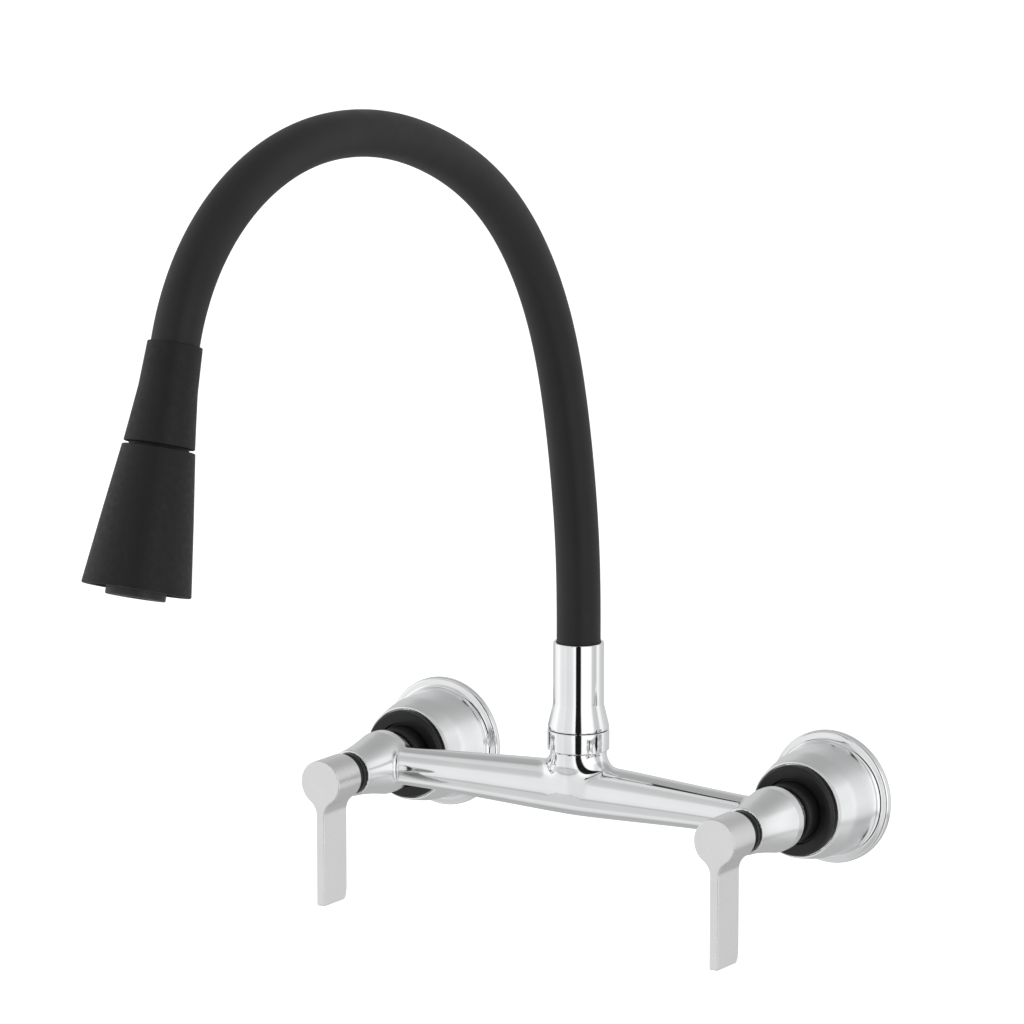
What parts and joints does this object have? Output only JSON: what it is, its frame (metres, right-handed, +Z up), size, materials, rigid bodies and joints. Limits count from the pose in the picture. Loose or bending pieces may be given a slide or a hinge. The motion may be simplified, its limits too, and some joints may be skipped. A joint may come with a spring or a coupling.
{
  "type": "pre rinse faucet",
  "caption": "Wall-mounted bridge mixer with two hanging levers, a swivelling black bendable gooseneck hose and a conical spray head.",
  "frame": {"origin": "on the wall plane, midway between the two inlet axes", "axes": "+X along the wall towards the right-hand (cold) inlet, +Y into the wall, so the faucet projects along -Y, +Z up"},
  "size_m": [0.2628, 0.4128, 0.3759],
  "materials": {
    "polished_chrome": "mirror-polished chrome plating",
    "satin_chrome": "softly satin chrome plating",
    "black_collar": "black plastic, satin",
    "black_silicone": "matte black silicone",
    "black_shell": "fine-textured matte black plastic",
    "black_nozzle": "black plastic, satin",
    "brass": "turned, unplated",
    "steel": "wound strip, bare",
    "seal_rubber": "matte black",
    "water_tube": "translucent white, shown opaque",
    "ceramic": "lapped",
    "aerator_plastic": "grey, satin"
  },
  "bodies": {
    "mixer": {"mixer_body": "polished_chrome", "swivel_nut": "polished_chrome", "inlet_union_left": "brass", "inlet_washer_left": "seal_rubber", "escutcheon_left": "polished_chrome", "collar_left": "black_collar", "cartridge_body_left": "brass", "fixed_disc_left": "ceramic", "bonnet_ring_left": "black_collar", "inlet_union_right": "brass", "inlet_washer_right": "seal_rubber", "escutcheon_right": "polished_chrome", "collar_right": "black_collar", "cartridge_body_right": "brass", "fixed_disc_right": "ceramic", "bonnet_ring_right": "black_collar"},
    "left_lever": {"handle_left": "satin_chrome", "handle_screw_left": "steel", "stem_left": "brass", "moving_disc_left": "ceramic"},
    "right_lever": {"handle_right": "satin_chrome", "handle_screw_right": "steel", "stem_right": "brass", "moving_disc_right": "ceramic"},
    "hose_1": {"swivel_spigot": "brass", "o_ring_lower": "seal_rubber", "o_ring_upper": "seal_rubber", "hose_ferrule": "polished_chrome", "sleeve_1": "black_silicone", "gooseneck_1": "steel", "water_hose_1": "water_tube"},
    "hose_2": {"sleeve_2": "black_silicone", "gooseneck_2": "steel", "water_hose_2": "water_tube"},
    "hose_3": {"sleeve_3": "black_silicone", "gooseneck_3": "steel", "water_hose_3": "water_tube"},
    "hose_4": {"sleeve_4": "black_silicone", "gooseneck_4": "steel", "water_hose_4": "water_tube"},
    "hose_5": {"sleeve_5": "black_silicone", "gooseneck_5": "steel", "water_hose_5": "water_tube"},
    "hose_6": {"sleeve_6": "black_silicone", "gooseneck_6": "steel", "water_hose_6": "water_tube"},
    "hose_7": {"sleeve_7": "black_silicone", "gooseneck_7": "steel", "water_hose_7": "water_tube"},
    "hose_8": {"sleeve_8": "black_silicone", "gooseneck_8": "steel", "water_hose_8": "water_tube", "head_shell": "black_shell", "head_connector": "brass", "head_washer": "seal_rubber"},
    "selector": {"selector_cone": "black_shell", "spray_plate": "black_nozzle", "aerator": "aerator_plastic"}
  },
  "joints": [
    {"name": "left_valve", "type": "hinge", "parent": "mixer", "child": "left_lever", "pos_m": [-0.1016, -0.0937, 0], "axis": [0, 1, 0], "range_deg": [0, 90]},
    {"name": "right_valve", "type": "hinge", "parent": "mixer", "child": "right_lever", "pos_m": [0.1016, -0.0937, 0], "axis": [0, -1, 0], "range_deg": [0, 90]},
    {"name": "spout_swivel", "type": "hinge", "parent": "mixer", "child": "hose_1", "pos_m": [0, -0.0486, 0.023], "axis": [0, 0, 1], "range_deg": [-90, 90]},
    {"name": "hose_bend_1", "type": "hinge", "parent": "hose_1", "child": "hose_2", "pos_m": [0, -0.05189, 0.12808], "axis": [1, 0, 0], "range_deg": [-16, 6]},
    {"name": "hose_bend_2", "type": "hinge", "parent": "hose_2", "child": "hose_3", "pos_m": [0, -0.06412, 0.18843], "axis": [1, 0, 0], "range_deg": [-16, 6]},
    {"name": "hose_bend_3", "type": "hinge", "parent": "hose_3", "child": "hose_4", "pos_m": [0, -0.09112, 0.24344], "axis": [1, 0, 0], "range_deg": [-16, 6]},
    {"name": "hose_bend_4", "type": "hinge", "parent": "hose_4", "child": "hose_5", "pos_m": [0, -0.13722, 0.28366], "axis": [1, 0, 0], "range_deg": [-16, 6]},
    {"name": "hose_bend_5", "type": "hinge", "parent": "hose_5", "child": "hose_6", "pos_m": [0, -0.19462, 0.3055], "axis": [1, 0, 0], "range_deg": [-16, 6]},
    {"name": "hose_bend_6", "type": "hinge", "parent": "hose_6", "child": "hose_7", "pos_m": [0, -0.25586, 0.30891], "axis": [1, 0, 0], "range_deg": [-16, 6]},
    {"name": "hose_bend_7", "type": "hinge", "parent": "hose_7", "child": "hose_8", "pos_m": [0, -0.31324, 0.2881], "axis": [1, 0, 0], "range_deg": [-16, 6]},
    {"name": "spray_selector", "type": "hinge", "parent": "hose_8", "child": "selector", "pos_m": [0, -0.36904, 0.17241], "axis": [0, -0.284, -0.9588], "range_deg": [0, 90]}
  ],
  "couplings": [
    {"joint": "hose_bend_2", "follows": "hose_bend_1", "ratio": 1},
    {"joint": "hose_bend_3", "follows": "hose_bend_1", "ratio": 1},
    {"joint": "hose_bend_4", "follows": "hose_bend_1", "ratio": 1},
    {"joint": "hose_bend_5", "follows": "hose_bend_1", "ratio": 1},
    {"joint": "hose_bend_6", "follows": "hose_bend_1", "ratio": 1},
    {"joint": "hose_bend_7", "follows": "hose_bend_1", "ratio": 1}
  ]
}
